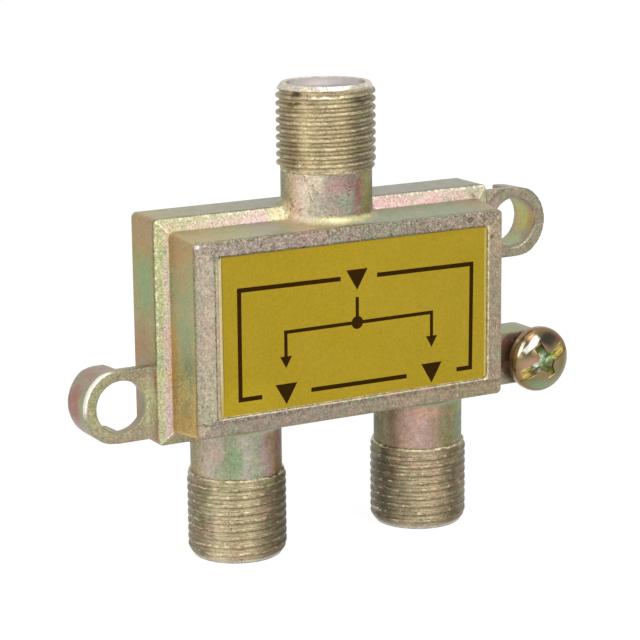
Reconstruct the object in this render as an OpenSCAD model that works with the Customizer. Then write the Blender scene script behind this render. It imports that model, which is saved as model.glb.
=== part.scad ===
// Two-way coaxial splitter: a die-cast box with one threaded port on top and two below.
// The origin is the centre of the flat back, which lies against the wall. The front
// faces -Y, +X is to the right and +Z points up along the top port.
// Sizes are in millimetres, and a depth is measured from the back towards the front.

/* [Casting] */
// Width of the rear tier
tier_w = 36.2; // [35.6:0.2:42]
// Height of the rear tier
tier_h = 21.4; // [21:0.1:26]
// Depth of the rear tier
tier_d = 4.7; // [4.4:0.1:6]
// Corner radius of the rear tier
tier_corner = 0.5; // [0.4:0.1:1.6]
// Width of the bevelled step round the front box
step_w = 1.2; // [0.8:0.1:1.4]
// Depth of the bevelled step
step_d = 0.7; // [0.4:0.1:1]
// Depth of the front box, without the step
box_d = 4.7; // [4:0.1:7]
// Draft on each side of the front box
box_draft = 0.4; // [0.1:0.05:0.6]
// Corner radius of the front box
box_corner = 0.5; // [0.4:0.1:1.2]
// Chamfer round the front face
face_chamfer = 0.25; // [0.1:0.05:0.4]
// Thickness of the casting's walls
wall = 1.3; // [1:0.1:1.5]

/* [Label] */
// Width of the flat rim beside the label, on the average of left and right
rim_w = 1.8; // [1.2:0.1:2.5]
// Height of the flat rim above and below the label
rim_h = 1.4; // [1:0.05:2.5]
// Shift of the label's recess to the right of the middle
recess_shift = 0.2; // [0:0.05:0.4]
// Depth of the label's recess
recess_d = 0.35; // [0.2:0.05:0.6]
// Corner radius of the recess and of the label
recess_corner = 0.3; // [0.2:0.05:0.6]
// Thickness of the foil label
foil_t = 0.12; // [0.06:0.02:0.18]
// Gap between the label and the recess, on the left and below
foil_gap = 0.4; // [0.2:0.05:0.8]
// Gap between the label and the recess, on the right and above
foil_edge_gap = 0.1; // [0.05:0.05:0.3]

/* [Ports] */
// Length of a port beyond the rear tier
port_len = 11.4; // [10:0.1:14]
// Length of a port's plain neck
neck_len = 3.35; // [2.5:0.05:4.5]
// Radius of a port's plain neck
neck_r = 4.34; // [4.1:0.02:4.5]
// Outer radius of the 3/8-32 thread
thread_r = 4.7; // [4.6:0.02:4.76]
// Lead-in chamfer at a port's mouth
lead_in = 0.5; // [0.3:0.1:0.8]
// Radius of a port's bore
bore_r = 3.3; // [3:0.05:3.5]
// Depth of the port axes in front of the wall
port_y = 4.8; // [4.8:0.1:5.4]
// Distance between the two lower ports
port_spacing = 20.2; // [18:0.2:22]
// Fillet where a port meets the box
port_fillet = 0.8; // [0.4:0.1:1.1]

/* [Mounting ears] */
// Distance of the upper, right ear's hole from the middle, sideways
right_ear_x = 22; // [21.6:0.1:24]
// Height of the upper, right ear's hole above the middle
right_ear_z = 6.35; // [4:0.05:7]
// Distance of the lower, left ear's hole from the middle, sideways
left_ear_x = 21.4; // [21.2:0.1:24]
// Distance of the lower, left ear's hole below the middle
left_ear_z = 6.65; // [4:0.05:7]
// Outer radius of an ear
ear_r = 3.7; // [3.4:0.05:4]
// Height of an ear between its flats at the top and the bottom
ear_h = 7.1; // [6.4:0.1:7.2]
// Radius of the screw hole in an ear
ear_hole_r = 2.5; // [2:0.1:2.6]
// Depth of an ear
ear_t = 3.9; // [3.2:0.1:4.2]
// Thickness of the web that joins an ear to the box, at its front
web_t = 1.2; // [0.8:0.1:1.8]
// Draft of the screw hole behind the web: how much wider it is at the back
hole_draft = 0.15; // [0.05:0.05:0.3]

/* [Ground lug and screw] */
// Distance of the ground screw from the middle, sideways
lug_x = 24.2; // [23.6:0.1:27]
// Distance of the ground screw below the middle
lug_z = 7.6; // [6:0.1:7.9]
// Radius of the lug's rounded end
lug_r = 2.7; // [2.2:0.05:2.8]
// Depth of the lug
lug_t = 3.8; // [3:0.1:4.4]
// Radius of the screw's shank
shank_r = 1.45; // [1.2:0.05:1.6]
// Radius of the screw's pan head
head_r = 3.35; // [2.8:0.05:3.5]
// Height of the pan head
head_h = 2; // [1.7:0.1:2.4]
// Gap between the lug and the head, where a ground wire goes
screw_out = 1; // [0:0.1:1.2]
// Width of the driver slot
slot_w = 0.85; // [0.6:0.05:1]
// Angle at which the slot came to rest
slot_angle = 27; // [0:1:90]

/* [Back cover] */
// Thickness of the sheet cover, and of its rebate
cover_t = 0.5; // [0.3:0.05:0.7]
// Width of the casting's edge round the cover
cover_edge = 0.8; // [0.5:0.05:0.9]

/* [Circuit board] */
// Thickness of the board
board_t = 1; // [0.8:0.1:1.6]
// Space between the cover and the board, for the solder
board_gap = 1.1; // [0.8:0.05:1.3]
// Radius of the cast posts that carry the board
post_r = 1.1; // [0.9:0.05:1.4]
// Distance of the posts from the board's short and long edges
post_inset = 1.9; // [1.6:0.1:2.4]
// Radius of each post's spigot, which passes through the board
spigot_r = 0.6; // [0.4:0.05:0.8]

/* [Insulators and contacts] */
// Depth of an insulator's face below the port's mouth
insulator_recess = 1; // [0.6:0.1:2]
// Radius of the hole for the cable's inner conductor
pin_hole_r = 0.8; // [0.6:0.05:1]
// Radius of the funnel that leads into the hole
funnel_r = 1.9; // [1.4:0.1:2.4]
// Outer radius of a spring contact
contact_r = 1.35; // [1.2:0.05:1.6]
// Thickness of the contact's metal
contact_t = 0.25; // [0.15:0.05:0.35]
// Length of a spring contact's sleeve
contact_len = 7; // [5:0.25:8]
// Length of the sleeve that shows inside the box, where its tail begins
contact_out = 0.6; // [0.4:0.05:0.8]
// Width of a contact's tail
tail_w = 0.9; // [0.7:0.05:1.1]

/* [Parts on the board] */
// Width across one hole's side of a ferrite core
core_r = 1.2; // [1:0.05:1.4]
// Distance between a ferrite core's two holes
core_pitch = 2.2; // [1.8:0.1:2.6]
// Radius of a ferrite core's holes
core_hole_r = 0.6; // [0.5:0.05:0.7]
// Length of a ferrite core
core_len = 2.6; // [2:0.1:3]
// Radius of the enamelled wire
wire_r = 0.12; // [0.08:0.01:0.14]
// Turns of wire through each core
turns = 3; // [2:1:3]
// Height of the matching core's centre above the middle
match_z = 2.3; // [2.2:0.1:2.6]
// Height of the splitting core's centre below the middle
split_z = 2; // [1.9:0.1:2.2]
// Radius of the resistor's body
resistor_r = 0.8; // [0.6:0.05:1]
// Length of the resistor's body
resistor_len = 3.4; // [2.8:0.1:4.2]
// Radius of the capacitors' discs
disc_r = 1.7; // [1.3:0.05:2]
// Thickness of the capacitors' discs
disc_t = 1.1; // [0.8:0.1:1.4]
// Distance of the capacitors from the middle, sideways
disc_x = 7; // [6:0.25:8]
// Radius of the tinned leads
lead_r = 0.25; // [0.2:0.05:0.3]

/* [Clearances] */
// Gap between an insulator and its bore, and between a contact and its pocket
fit_gap = 0.05; // [0.03:0.01:0.1]
// Gap round the cover, the board's edges and what passes through the board
loose_gap = 0.1; // [0.08:0.01:0.15]
// Gap between the board's edge and what stands beyond it
edge_gap = 0.4; // [0.3:0.05:0.6]

/* [Hidden] */

fine = 96;   // facets of the ports
round = 32;  // facets of small round features
eps = 0.01;  // overlap of joined solids
through = 1; // how far a cut runs past the surface

// Outlines of the front box at its foot and at its face
foot_w = tier_w - 2 * step_w;
foot_h = tier_h - 2 * step_w;
face_w = foot_w - 2 * box_draft;
face_h = foot_h - 2 * box_draft;
foot_y = tier_d + step_d;
face_y = foot_y + box_d;

// Inside of the casting
room_w = face_w - 2 * wall;
room_h = face_h - 2 * wall;
tier_room_w = tier_w - 2 * wall;
tier_room_h = tier_h - 2 * wall;
room_front_y = face_y - recess_d - wall;

// Label and its recess
recess_w = face_w - 2 * rim_w;
recess_h = face_h - 2 * rim_h;
floor_y = face_y - recess_d;
foil_w = recess_w - foil_gap - foil_edge_gap;
foil_h = recess_h - foil_gap - foil_edge_gap;

// Heights along a port's axis, from the middle of the box
bore_end = room_h / 2;
thread_start = tier_h / 2 + neck_len;
port_end = tier_h / 2 + port_len;
insulator_end = port_end - insulator_recess;
pocket_end = bore_end + contact_len + fit_gap;
lead_in_rise = 1.4 * lead_in;

// Board
board_back_y = cover_t + board_gap;
board_front_y = board_back_y + board_t;
board_w = room_w - 2 * loose_gap;
board_h = room_h - 2 * edge_gap;
post_x = board_w / 2 - post_inset;
post_z = board_h / 2 - post_inset;
tail_inset = 1.3; // from the board's long edge to a contact's tail
tail_z = board_h / 2 - tail_inset;
stub = 0.5; // length of a lead behind the board
joint_r = 0.75;
joint_h = 0.45;

// Winding: the turns lie side by side in the core's holes
turn_pitch = 2.2 * wire_r;
core_y = board_front_y + core_r;
face_gap = 0.05 + wire_r;   // from a core's end to the wire's turns
end_gap = 2.4 * face_gap;   // from a core's end to the wire's last lead

// Resistor and capacitors stand a little off the board
resistor_inset = 0.3;
resistor_lift = 0.2;
disc_lift = 0.4;
resistor_z = board_h / 2 - resistor_r - resistor_inset;
resistor_lead_x = resistor_len / 2 + 1;
resistor_y = board_front_y + resistor_r + resistor_lift;
disc_lead_x = 0.6 * disc_r;
disc_y = board_front_y + disc_r + disc_lift;

// Where leads pass through the board: [x, z, radius]
core_points = function(z) [
    [-core_pitch / 2, z + core_len / 2 + face_gap, wire_r],
    [core_pitch / 2, z + core_len / 2 + end_gap, wire_r],
    [0, z - core_len / 2 - face_gap, wire_r]
];
resistor_points = [[-resistor_lead_x, -resistor_z, lead_r], [resistor_lead_x, -resistor_z, lead_r]];
disc_points = function(x, z) [[x - disc_lead_x, z, lead_r], [x + disc_lead_x, z, lead_r]];
lead_points = concat(core_points(match_z), core_points(-split_z), resistor_points,
                     disc_points(-disc_x, match_z), disc_points(disc_x, -split_z));
tail_middle = tail_z + contact_t / 2;
tail_points = [[0, tail_middle], [-port_spacing / 2, -tail_middle], [port_spacing / 2, -tail_middle]];
post_points = [for (x = [-post_x, post_x], z = [-post_z, post_z]) [x, z]];

// Extrudes an X-Z outline from one depth to another
module slab(from_y, to_y) {
    translate([0, -from_y, 0])
        rotate([90, 0, 0])
            linear_extrude(to_y - from_y)
                children();
}

// Rounded rectangle from straight and round parts
module rounded(w, h, r) {
    square([w - 2 * r, h], center = true);
    square([w, h - 2 * r], center = true);
    for (x = [-1, 1], z = [-1, 1])
        translate([x * (w / 2 - r), z * (h / 2 - r)])
            circle(r, $fn = round);
}

// Solid that tapers between two rounded rectangles at two depths
module taper(from_y, to_y, w, h, r, end_w, end_h) {
    translate([0, -from_y, 0])
        rotate([90, 0, 0])
            linear_extrude(to_y - from_y, scale = [end_w / w, end_h / h])
                rounded(w, h, r);
}

// Round bar along Y between two depths
module bar(x, z, r, from_y, to_y, facets = round) {
    translate([x, -from_y, z])
        rotate([90, 0, 0])
            cylinder(h = to_y - from_y, r = r, $fn = facets);
}

// Straight round rod between two points
module rod(a, b, r) {
    d = b - a;
    translate(a)
        rotate([0, acos(d.z / norm(d)), atan2(d.y, d.x)])
            cylinder(h = norm(d), r = r, $fn = 16);
}

// Wire bent through a list of points
module wire(path, r) {
    for (i = [0 : len(path) - 2])
        rod(path[i], path[i + 1], r);
    for (i = [1 : len(path) - 2])
        translate(path[i])
            sphere(1.1 * r, $fn = 16);
}

// Moves what is modelled about the Z axis to one of the three ports
module at_top_port() {
    translate([0, -port_y, 0])
        children();
}

module at_lower_port(side) {
    translate([side * port_spacing / 2, -port_y, 0])
        rotate([0, 180, 0])
            children();
}

module at_every_port() {
    at_top_port()
        children();
    for (side = [-1, 1])
        at_lower_port(side)
            children();
}

// Moves what is modelled about an ear's hole, with the box on its left, to an ear
module at_right_ear() {
    translate([right_ear_x, 0, right_ear_z])
        children();
}

module at_left_ear() {
    translate([-left_ear_x, 0, -left_ear_z])
        mirror([1, 0, 0])
            children();
}

// Outside of the box: rear tier, bevelled step, drafted front box and its chamfer
module box_outside() {
    slab(0, tier_d)
        rounded(tier_w, tier_h, tier_corner);
    taper(tier_d - eps, foot_y, tier_w, tier_h, tier_corner, foot_w, foot_h);
    taper(foot_y - eps, face_y - face_chamfer, foot_w, foot_h, box_corner, face_w, face_h);
    taper(face_y - face_chamfer - eps, face_y, face_w, face_h, box_corner,
          face_w - 2 * face_chamfer, face_h - 2 * face_chamfer);
}

// Hollow that opens at the back
module box_room() {
    slab(-through, tier_d - wall / 2)
        rounded(tier_room_w, tier_room_h, tier_corner);
    slab(-through, room_front_y)
        rounded(room_w, room_h, box_corner);
}

// Solid of revolution for a port: neck, threaded length and lead-in
module port_body() {
    rotate_extrude($fn = fine)
        polygon([[0, bore_end],
                 [neck_r, bore_end],
                 [neck_r, thread_start - (thread_r - neck_r)],
                 [thread_r, thread_start],
                 [thread_r, port_end - lead_in_rise],
                 [thread_r - lead_in, port_end],
                 [0, port_end]]);
}

// Concave fillet round a port, standing on a surface at the given height
module port_foot(z) {
    rotate_extrude($fn = fine)
        difference() {
            translate([neck_r - eps, z - eps])
                square([port_fillet + eps, port_fillet + eps]);
            translate([neck_r + port_fillet, z + port_fillet])
                circle(port_fillet, $fn = round);
        }
}

// The fillet follows the two levels of the box, the tier's and the front box's
module port_fillets() {
    intersection() {
        port_foot(tier_h / 2);
        translate([-2 * neck_r, port_y - tier_d, 0])
            cube([4 * neck_r, tier_d - cover_t, port_end]);
    }
    intersection() {
        port_foot(face_h / 2);
        translate([-2 * neck_r, port_y - face_y + face_chamfer, 0])
            cube([4 * neck_r, box_d - face_chamfer, port_end]);
    }
}

// Solid of an ear about its hole; reach is the distance from the hole to the box's side
module ear(reach) {
    slab(0, ear_t)
        intersection() {
            union() {
                circle(ear_r, $fn = fine);
                translate([-reach - wall / 2, -ear_r])
                    square([reach + wall / 2, 2 * ear_r]);
            }
            square([4 * reach, ear_h], center = true);
        }
    ear_blend(reach);
}

// Concave blend from the ear's face up to the front edge of the tier
module ear_blend(reach) {
    rise = tier_d - ear_t;
    translate([-reach - eps, -ear_t, -ear_h / 2])
        linear_extrude(ear_h)
            difference() {
                translate([0, -rise])
                    square([rise + eps, rise + eps]);
                translate([rise + eps, -rise])
                    circle(rise, $fn = round);
            }
}

// Screw hole, and the gap between the round half of the ear and the box, which leaves
// only the front web
module ear_hole(reach) {
    depth = ear_t - web_t;
    bar(0, 0, ear_hole_r, -through, ear_t + through, fine);
    translate([0, through, 0])
        rotate([90, 0, 0])
            cylinder(h = depth + through, r1 = ear_hole_r + hole_draft * (1 + through / depth),
                     r2 = ear_hole_r, $fn = fine);
    slab(-through, depth)
        translate([-reach, -ear_h / 2 - through])
            square([reach, ear_h + 2 * through]);
}

module lug() {
    slab(0, lug_t) {
        translate([lug_x, -lug_z])
            circle(lug_r, $fn = fine);
        translate([tier_w / 2 - wall / 2, -lug_z - lug_r])
            square([lug_x - tier_w / 2 + wall / 2, 2 * lug_r]);
    }
}

// Post from the front wall that carries the board, with a spigot through it
module board_post(x, z) {
    bar(x, z, post_r, board_front_y, room_front_y + eps);
    bar(x, z, spigot_r, board_back_y - stub / 2, board_front_y + eps);
}

module housing() {
    color([0.68, 0.64, 0.52])
        difference() {
            union() {
                difference() {
                    box_outside();
                    box_room();
                }
                at_every_port()
                    port_body();
                at_every_port()
                    port_fillets();
                at_right_ear()
                    ear(right_ear_x - tier_w / 2);
                at_left_ear()
                    ear(left_ear_x - tier_w / 2);
                lug();
                for (p = post_points)
                    board_post(p.x, p.y);
            }
            at_every_port()
                translate([0, 0, bore_end - eps])
                    cylinder(h = port_end - bore_end + through, r = bore_r, $fn = fine);
            at_right_ear()
                ear_hole(right_ear_x - tier_w / 2);
            at_left_ear()
                ear_hole(left_ear_x - tier_w / 2);
            bar(lug_x, -lug_z, shank_r + fit_gap, -through, lug_t + through);
            translate([recess_shift, 0, 0])
                slab(floor_y, face_y + through)
                    rounded(recess_w, recess_h, recess_corner);
            slab(-through, cover_t)
                rounded(tier_w - 2 * cover_edge, tier_h - 2 * cover_edge, tier_corner);
        }
}

module back_cover() {
    color([0.78, 0.78, 0.76])
        slab(0, cover_t)
            rounded(tier_w - 2 * (cover_edge + loose_gap), tier_h - 2 * (cover_edge + loose_gap),
                    tier_corner - loose_gap);
}

// The foil sits towards the right and the top of its recess
module label() {
    shift = (foil_gap - foil_edge_gap) / 2;
    color([0.68, 0.57, 0.14])
        translate([recess_shift + shift, 0, shift])
            slab(floor_y, floor_y + foil_t)
                rounded(foil_w, foil_h, recess_corner);
}

// Pan head screw with a driver slot and a cross recess
module ground_screw() {
    rim_h = 0.45 * head_h;
    dome_r = (head_r * head_r + (head_h - rim_h) * (head_h - rim_h)) / (2 * (head_h - rim_h));
    slot_d = 0.5 * head_h;
    color([0.76, 0.70, 0.42])
        translate([lug_x, -lug_t - screw_out, -lug_z])
            rotate([90, 0, 0])
                difference() {
                    union() {
                        intersection() {
                            cylinder(h = head_h, r = head_r, $fn = fine);
                            translate([0, 0, head_h - dome_r])
                                sphere(dome_r, $fn = fine);
                        }
                        translate([0, 0, -lug_t - screw_out + fit_gap])
                            cylinder(h = lug_t + screw_out, r = shank_r, $fn = round);
                    }
                    rotate(slot_angle)
                        translate([-head_r - through, -slot_w / 2, head_h - slot_d])
                            cube([2 * (head_r + through), slot_w, slot_d + through]);
                    rotate(slot_angle + 90)
                        translate([-0.6 * head_r, -slot_w / 2, head_h - slot_d])
                            cube([1.2 * head_r, slot_w, slot_d + through]);
                }
}

// Plastic plug with a funnel for the inner conductor and a pocket for the contact
module insulator() {
    plug_r = bore_r - fit_gap;
    pocket_r = contact_r + fit_gap;
    funnel_d = funnel_r - pin_hole_r;
    color([0.90, 0.89, 0.86])
        rotate_extrude($fn = fine)
            polygon([[pocket_r, bore_end],
                     [plug_r, bore_end],
                     [plug_r, insulator_end],
                     [funnel_r, insulator_end],
                     [pin_hole_r, insulator_end - funnel_d],
                     [pin_hole_r, pocket_end],
                     [pocket_r, pocket_end]]);
}

// Slit spring sleeve whose tail bends back through the board
module contact() {
    slit_w = 0.4;
    solid_len = contact_out + 1.5;
    sleeve_len = contact_out + contact_len;
    bend_y = contact_r - contact_t;
    color([0.80, 0.66, 0.40]) {
        translate([0, 0, bore_end - contact_out])
            difference() {
                cylinder(h = sleeve_len, r = contact_r, $fn = round);
                translate([0, 0, -through])
                    cylinder(h = sleeve_len + 2 * through, r = contact_r - contact_t, $fn = round);
                translate([-slit_w / 2, -2 * contact_r, solid_len])
                    cube([slit_w, 4 * contact_r, sleeve_len]);
            }
        translate([-tail_w / 2, bend_y, tail_z])
            cube([tail_w, contact_t, bore_end - fit_gap - tail_z]);
        translate([-tail_w / 2, bend_y, tail_z])
            cube([tail_w, port_y - board_back_y + stub - bend_y, contact_t]);
    }
}

module circuit_board() {
    color([0.45, 0.36, 0.20])
        difference() {
            slab(board_back_y, board_front_y)
                square([board_w, board_h], center = true);
            for (p = post_points)
                bar(p.x, p.y, spigot_r + loose_gap, 0, board_front_y + through);
            for (p = lead_points)
                bar(p.x, p.y, p.z + loose_gap, 0, board_front_y + through);
            for (p = tail_points)
                translate([p.x, 0, p.y])
                    tail_cut(loose_gap, board_back_y - through, board_front_y + through);
        }
}

// Slot that a contact's tail passes through
module tail_cut(gap, from_y, to_y) {
    slab(from_y, to_y)
        square([tail_w + 2 * gap, contact_t + 2 * gap], center = true);
}

// Two-hole ferrite core lying on the board
module core(z) {
    translate([0, -core_y, z - core_len / 2])
        linear_extrude(core_len)
            difference() {
                union() {
                    for (side = [-1, 1])
                        translate([side * core_pitch / 2, 0])
                            circle(core_r, $fn = round);
                    square([core_pitch, 2 * core_r], center = true);
                }
                for (side = [-1, 1])
                    translate([side * core_pitch / 2, 0])
                        circle(core_hole_r, $fn = round);
            }
}

// Enamelled wire wound through both holes of a core, with a tap at its middle
module winding(z) {
    x = core_pitch / 2;
    top = z + core_len / 2 + face_gap;
    low = z - core_len / 2 - face_gap;
    end = z + core_len / 2 + end_gap;
    back = -board_back_y + stub;
    turn_y = function(i) -core_y - (i - (turns - 1) / 2) * turn_pitch;
    turn = function(y) [[-x, y, top], [-x, y, low], [x, y, low], [x, y, top]];
    loops = [for (i = [0 : turns - 1]) each turn(turn_y(i))];
    last_y = turn_y(turns - 1);
    wire(concat([[-x, back, top]], loops, [[x, last_y, end], [x, back, end]]), wire_r);
    wire([[0, -core_y, low], [0, back, low]], wire_r);
}

module matching_core() {
    color([0.25, 0.24, 0.24])
        core(match_z);
}

module matching_winding() {
    color([0.72, 0.36, 0.18])
        winding(match_z);
}

module splitting_core() {
    color([0.25, 0.24, 0.24])
        core(-split_z);
}

module splitting_winding() {
    color([0.22, 0.48, 0.26])
        winding(-split_z);
}

// Axial resistor between the two outputs
module isolation_resistor() {
    back = -board_back_y + stub;
    color([0.76, 0.66, 0.48]) {
        translate([-resistor_len / 2, -resistor_y, -resistor_z])
            rotate([0, 90, 0])
                cylinder(h = resistor_len, r = resistor_r, $fn = round);
        wire([[-resistor_lead_x, back, -resistor_z],
              [-resistor_lead_x, -resistor_y, -resistor_z],
              [resistor_lead_x, -resistor_y, -resistor_z],
              [resistor_lead_x, back, -resistor_z]], lead_r);
    }
}

// Disc capacitor that stands on its two leads
module capacitor(x, z) {
    color([0.76, 0.52, 0.24]) {
        translate([x, -disc_y, z - disc_t / 2])
            cylinder(h = disc_t, r = disc_r, $fn = round);
        for (p = disc_points(x, z))
            bar(p.x, p.y, lead_r, board_back_y - stub, disc_y);
    }
}

// Solder on the back of the board, round every lead and tail
module solder_joints() {
    color([0.74, 0.75, 0.76]) {
        for (p = lead_points)
            difference() {
                solder_cone(p.x, p.y);
                bar(p.x, p.y, p.z, 0, board_front_y);
            }
        for (p = tail_points)
            difference() {
                solder_cone(p.x, p.y);
                translate([p.x, 0, p.y])
                    tail_cut(0, 0, board_front_y);
            }
    }
}

module solder_cone(x, z) {
    translate([x, -board_back_y, z])
        rotate([-90, 0, 0])
            cylinder(h = joint_h, r1 = joint_r, r2 = joint_r / 2, $fn = round);
}

housing();
back_cover();
label();
ground_screw();
at_top_port() insulator();  // in_insulator
at_top_port() contact();  // in_contact
at_lower_port(-1) insulator();  // out_left_insulator
at_lower_port(-1) contact();  // out_left_contact
at_lower_port(1) insulator();  // out_right_insulator
at_lower_port(1) contact();  // out_right_contact
circuit_board();
matching_core();
matching_winding();
splitting_core();
splitting_winding();
isolation_resistor();
capacitor(-disc_x, match_z);  // input_capacitor
capacitor(disc_x, -split_z);  // balance_capacitor
solder_joints();
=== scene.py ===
"""Looks of the tv splitter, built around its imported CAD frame.

Lengths are in millimetres in the part's own frame until a mesh is made: the wall is at
y = 0, the label faces -Y and the input port points up along +Z.
"""

import functools
import math

import bmesh
import bpy
import numpy as np
from mathutils import Matrix, Vector


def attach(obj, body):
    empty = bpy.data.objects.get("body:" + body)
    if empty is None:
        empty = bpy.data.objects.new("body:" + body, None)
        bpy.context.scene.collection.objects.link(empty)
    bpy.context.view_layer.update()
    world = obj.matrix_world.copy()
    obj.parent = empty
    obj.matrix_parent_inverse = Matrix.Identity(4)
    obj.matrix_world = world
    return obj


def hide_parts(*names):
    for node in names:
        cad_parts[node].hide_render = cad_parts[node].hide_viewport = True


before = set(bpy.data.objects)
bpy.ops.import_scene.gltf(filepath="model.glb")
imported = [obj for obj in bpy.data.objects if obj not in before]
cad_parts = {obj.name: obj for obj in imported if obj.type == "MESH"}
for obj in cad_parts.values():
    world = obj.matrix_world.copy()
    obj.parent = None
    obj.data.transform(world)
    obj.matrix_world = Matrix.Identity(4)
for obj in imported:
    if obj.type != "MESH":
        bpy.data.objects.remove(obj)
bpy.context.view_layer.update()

MM = 0.001

# Casting
TIER_HALF_W = 18.1
TIER_HALF_H = 10.7
TIER_FRONT = -4.7
TIER_CORNER = 0.5
STEP_W = 1.2
FOOT_Y = -5.4
FACE_Y = -10.1
BOX_HALF_W = 16.9
BOX_HALF_H = 9.5
BOX_CORNER = 0.5
DRAFT = 0.4
FACE_HALF_H = BOX_HALF_H - DRAFT
# Blow holes: middle and radius of the sphere that each is cut with
PITS = [(12.84, -10.2, 8.44, 0.32), (15.35, -10.2, 6.55, 0.26), (16.2, -5.2, 9.7, 0.26)]
RECESS_LOW = (-14.55, -7.42)
RECESS_HIGH = (14.85, 7.7)
RECESS_MIDDLE = [(low + high) / 2 for low, high in zip(RECESS_LOW, RECESS_HIGH)]
RECESS_HALF = [(high - low) / 2 for low, high in zip(RECESS_LOW, RECESS_HIGH)]
RECESS_CORNER = 0.55
RECESS_FLOOR = -9.75
WALL = 1.3
ROOM_HALF = (15.2, 7.8)
ROOM_FRONT = -8.45
TIER_ROOM_FRONT = -4.05
POST_X = 13.1
POST_Z = 5.45
POST_R = 1.1
POST_END = -2.6
SPIGOT_R = 0.6
SPIGOT_END = -1.35
COVER_HALF_W = 17.3
COVER_HALF_H = 9.9
COVER_T = 0.5

# Ports
PORT_Y = -4.8
# Place along X, and direction along Z
PORTS = {"in": (0.0, 1.0), "out_left": (-10.1, -1.0), "out_right": (10.1, -1.0)}
NECK_R = 4.34
NECK_START = 7.8
NECK_END = 14.1
BORE_R = 3.3
BORE_START = 7.0
CORE_END = 21.0
PORT_END = 22.1
PORT_FILLET = 0.75
# The photograph's direction from left to right, level with the floor
ACROSS = (0.871, -0.491, 0.0)

# Ears and lug; an ear has its place and the side that it is on
EARS = {"right": (22.0, 6.35, 1), "left": (-21.4, -6.65, -1)}
EAR_R = 3.7
EAR_HALF_H = 3.55
EAR_HOLE_R = 2.5
EAR_T = 3.9
EAR_DRAFT = 0.07
EAR_FLARE = 0.8
HOLE_DRAFT = 0.15
WEB_T = 1.2
LUG_X = 24.2
LUG_Z = -7.6
LUG_R = 2.7
LUG_T = 3.8
LUG_HOLE_R = 1.5

# Camera, from a fit to the photograph
CAMERA_PLACE = (-106.905, -193.706, 48.958)
CAMERA_RIGHT = (0.87076911, -0.49158956, -0.01004328)
CAMERA_UP = (0.11838664, 0.1897897, 0.97466121)
CAMERA_LENS = 130.855
SENSOR = 36.0


def scene_object(name, data):
    made = bpy.data.objects.new(name, data)
    bpy.context.scene.collection.objects.link(made)
    return made


def make_camera():
    data = bpy.data.cameras.new("camera")
    data.sensor_width = SENSOR
    data.lens = CAMERA_LENS
    data.clip_start = 0.01
    data.clip_end = 20
    camera = scene_object("camera", data)
    right = Vector(CAMERA_RIGHT).normalized()
    up = Vector(CAMERA_UP).normalized()
    back = right.cross(up)
    turn = Matrix((right, up, back)).transposed().to_4x4()
    camera.matrix_world = Matrix.Translation(Vector(CAMERA_PLACE) * MM) @ turn
    bpy.context.scene.camera = camera


make_camera()


# Meshes from signed distance fields

def both(a, b, r=0.0):
    """Where two solids overlap, with the edge between them rounded."""
    if r == 0:
        return np.maximum(a, b)
    return np.minimum(-r, np.maximum(a, b)) + np.hypot(np.maximum(r + a, 0), np.maximum(r + b, 0))


def either(a, b, r=0.0):
    """Two solids together, with a fillet between them."""
    if r == 0:
        return np.minimum(a, b)
    return np.maximum(r, np.minimum(a, b)) - np.hypot(np.maximum(r - a, 0), np.maximum(r - b, 0))


def without(a, b, r=0.0):
    return both(a, -b, r)


def round_rect(x, z, half_w, half_h, corner):
    qx = np.abs(x) - (half_w - corner)
    qz = np.abs(z) - (half_h - corner)
    outside = np.hypot(np.maximum(qx, 0), np.maximum(qz, 0))
    return outside + np.minimum(np.maximum(qx, qz), 0) - corner


def between(v, low, high):
    return np.maximum(low - v, v - high)


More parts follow.
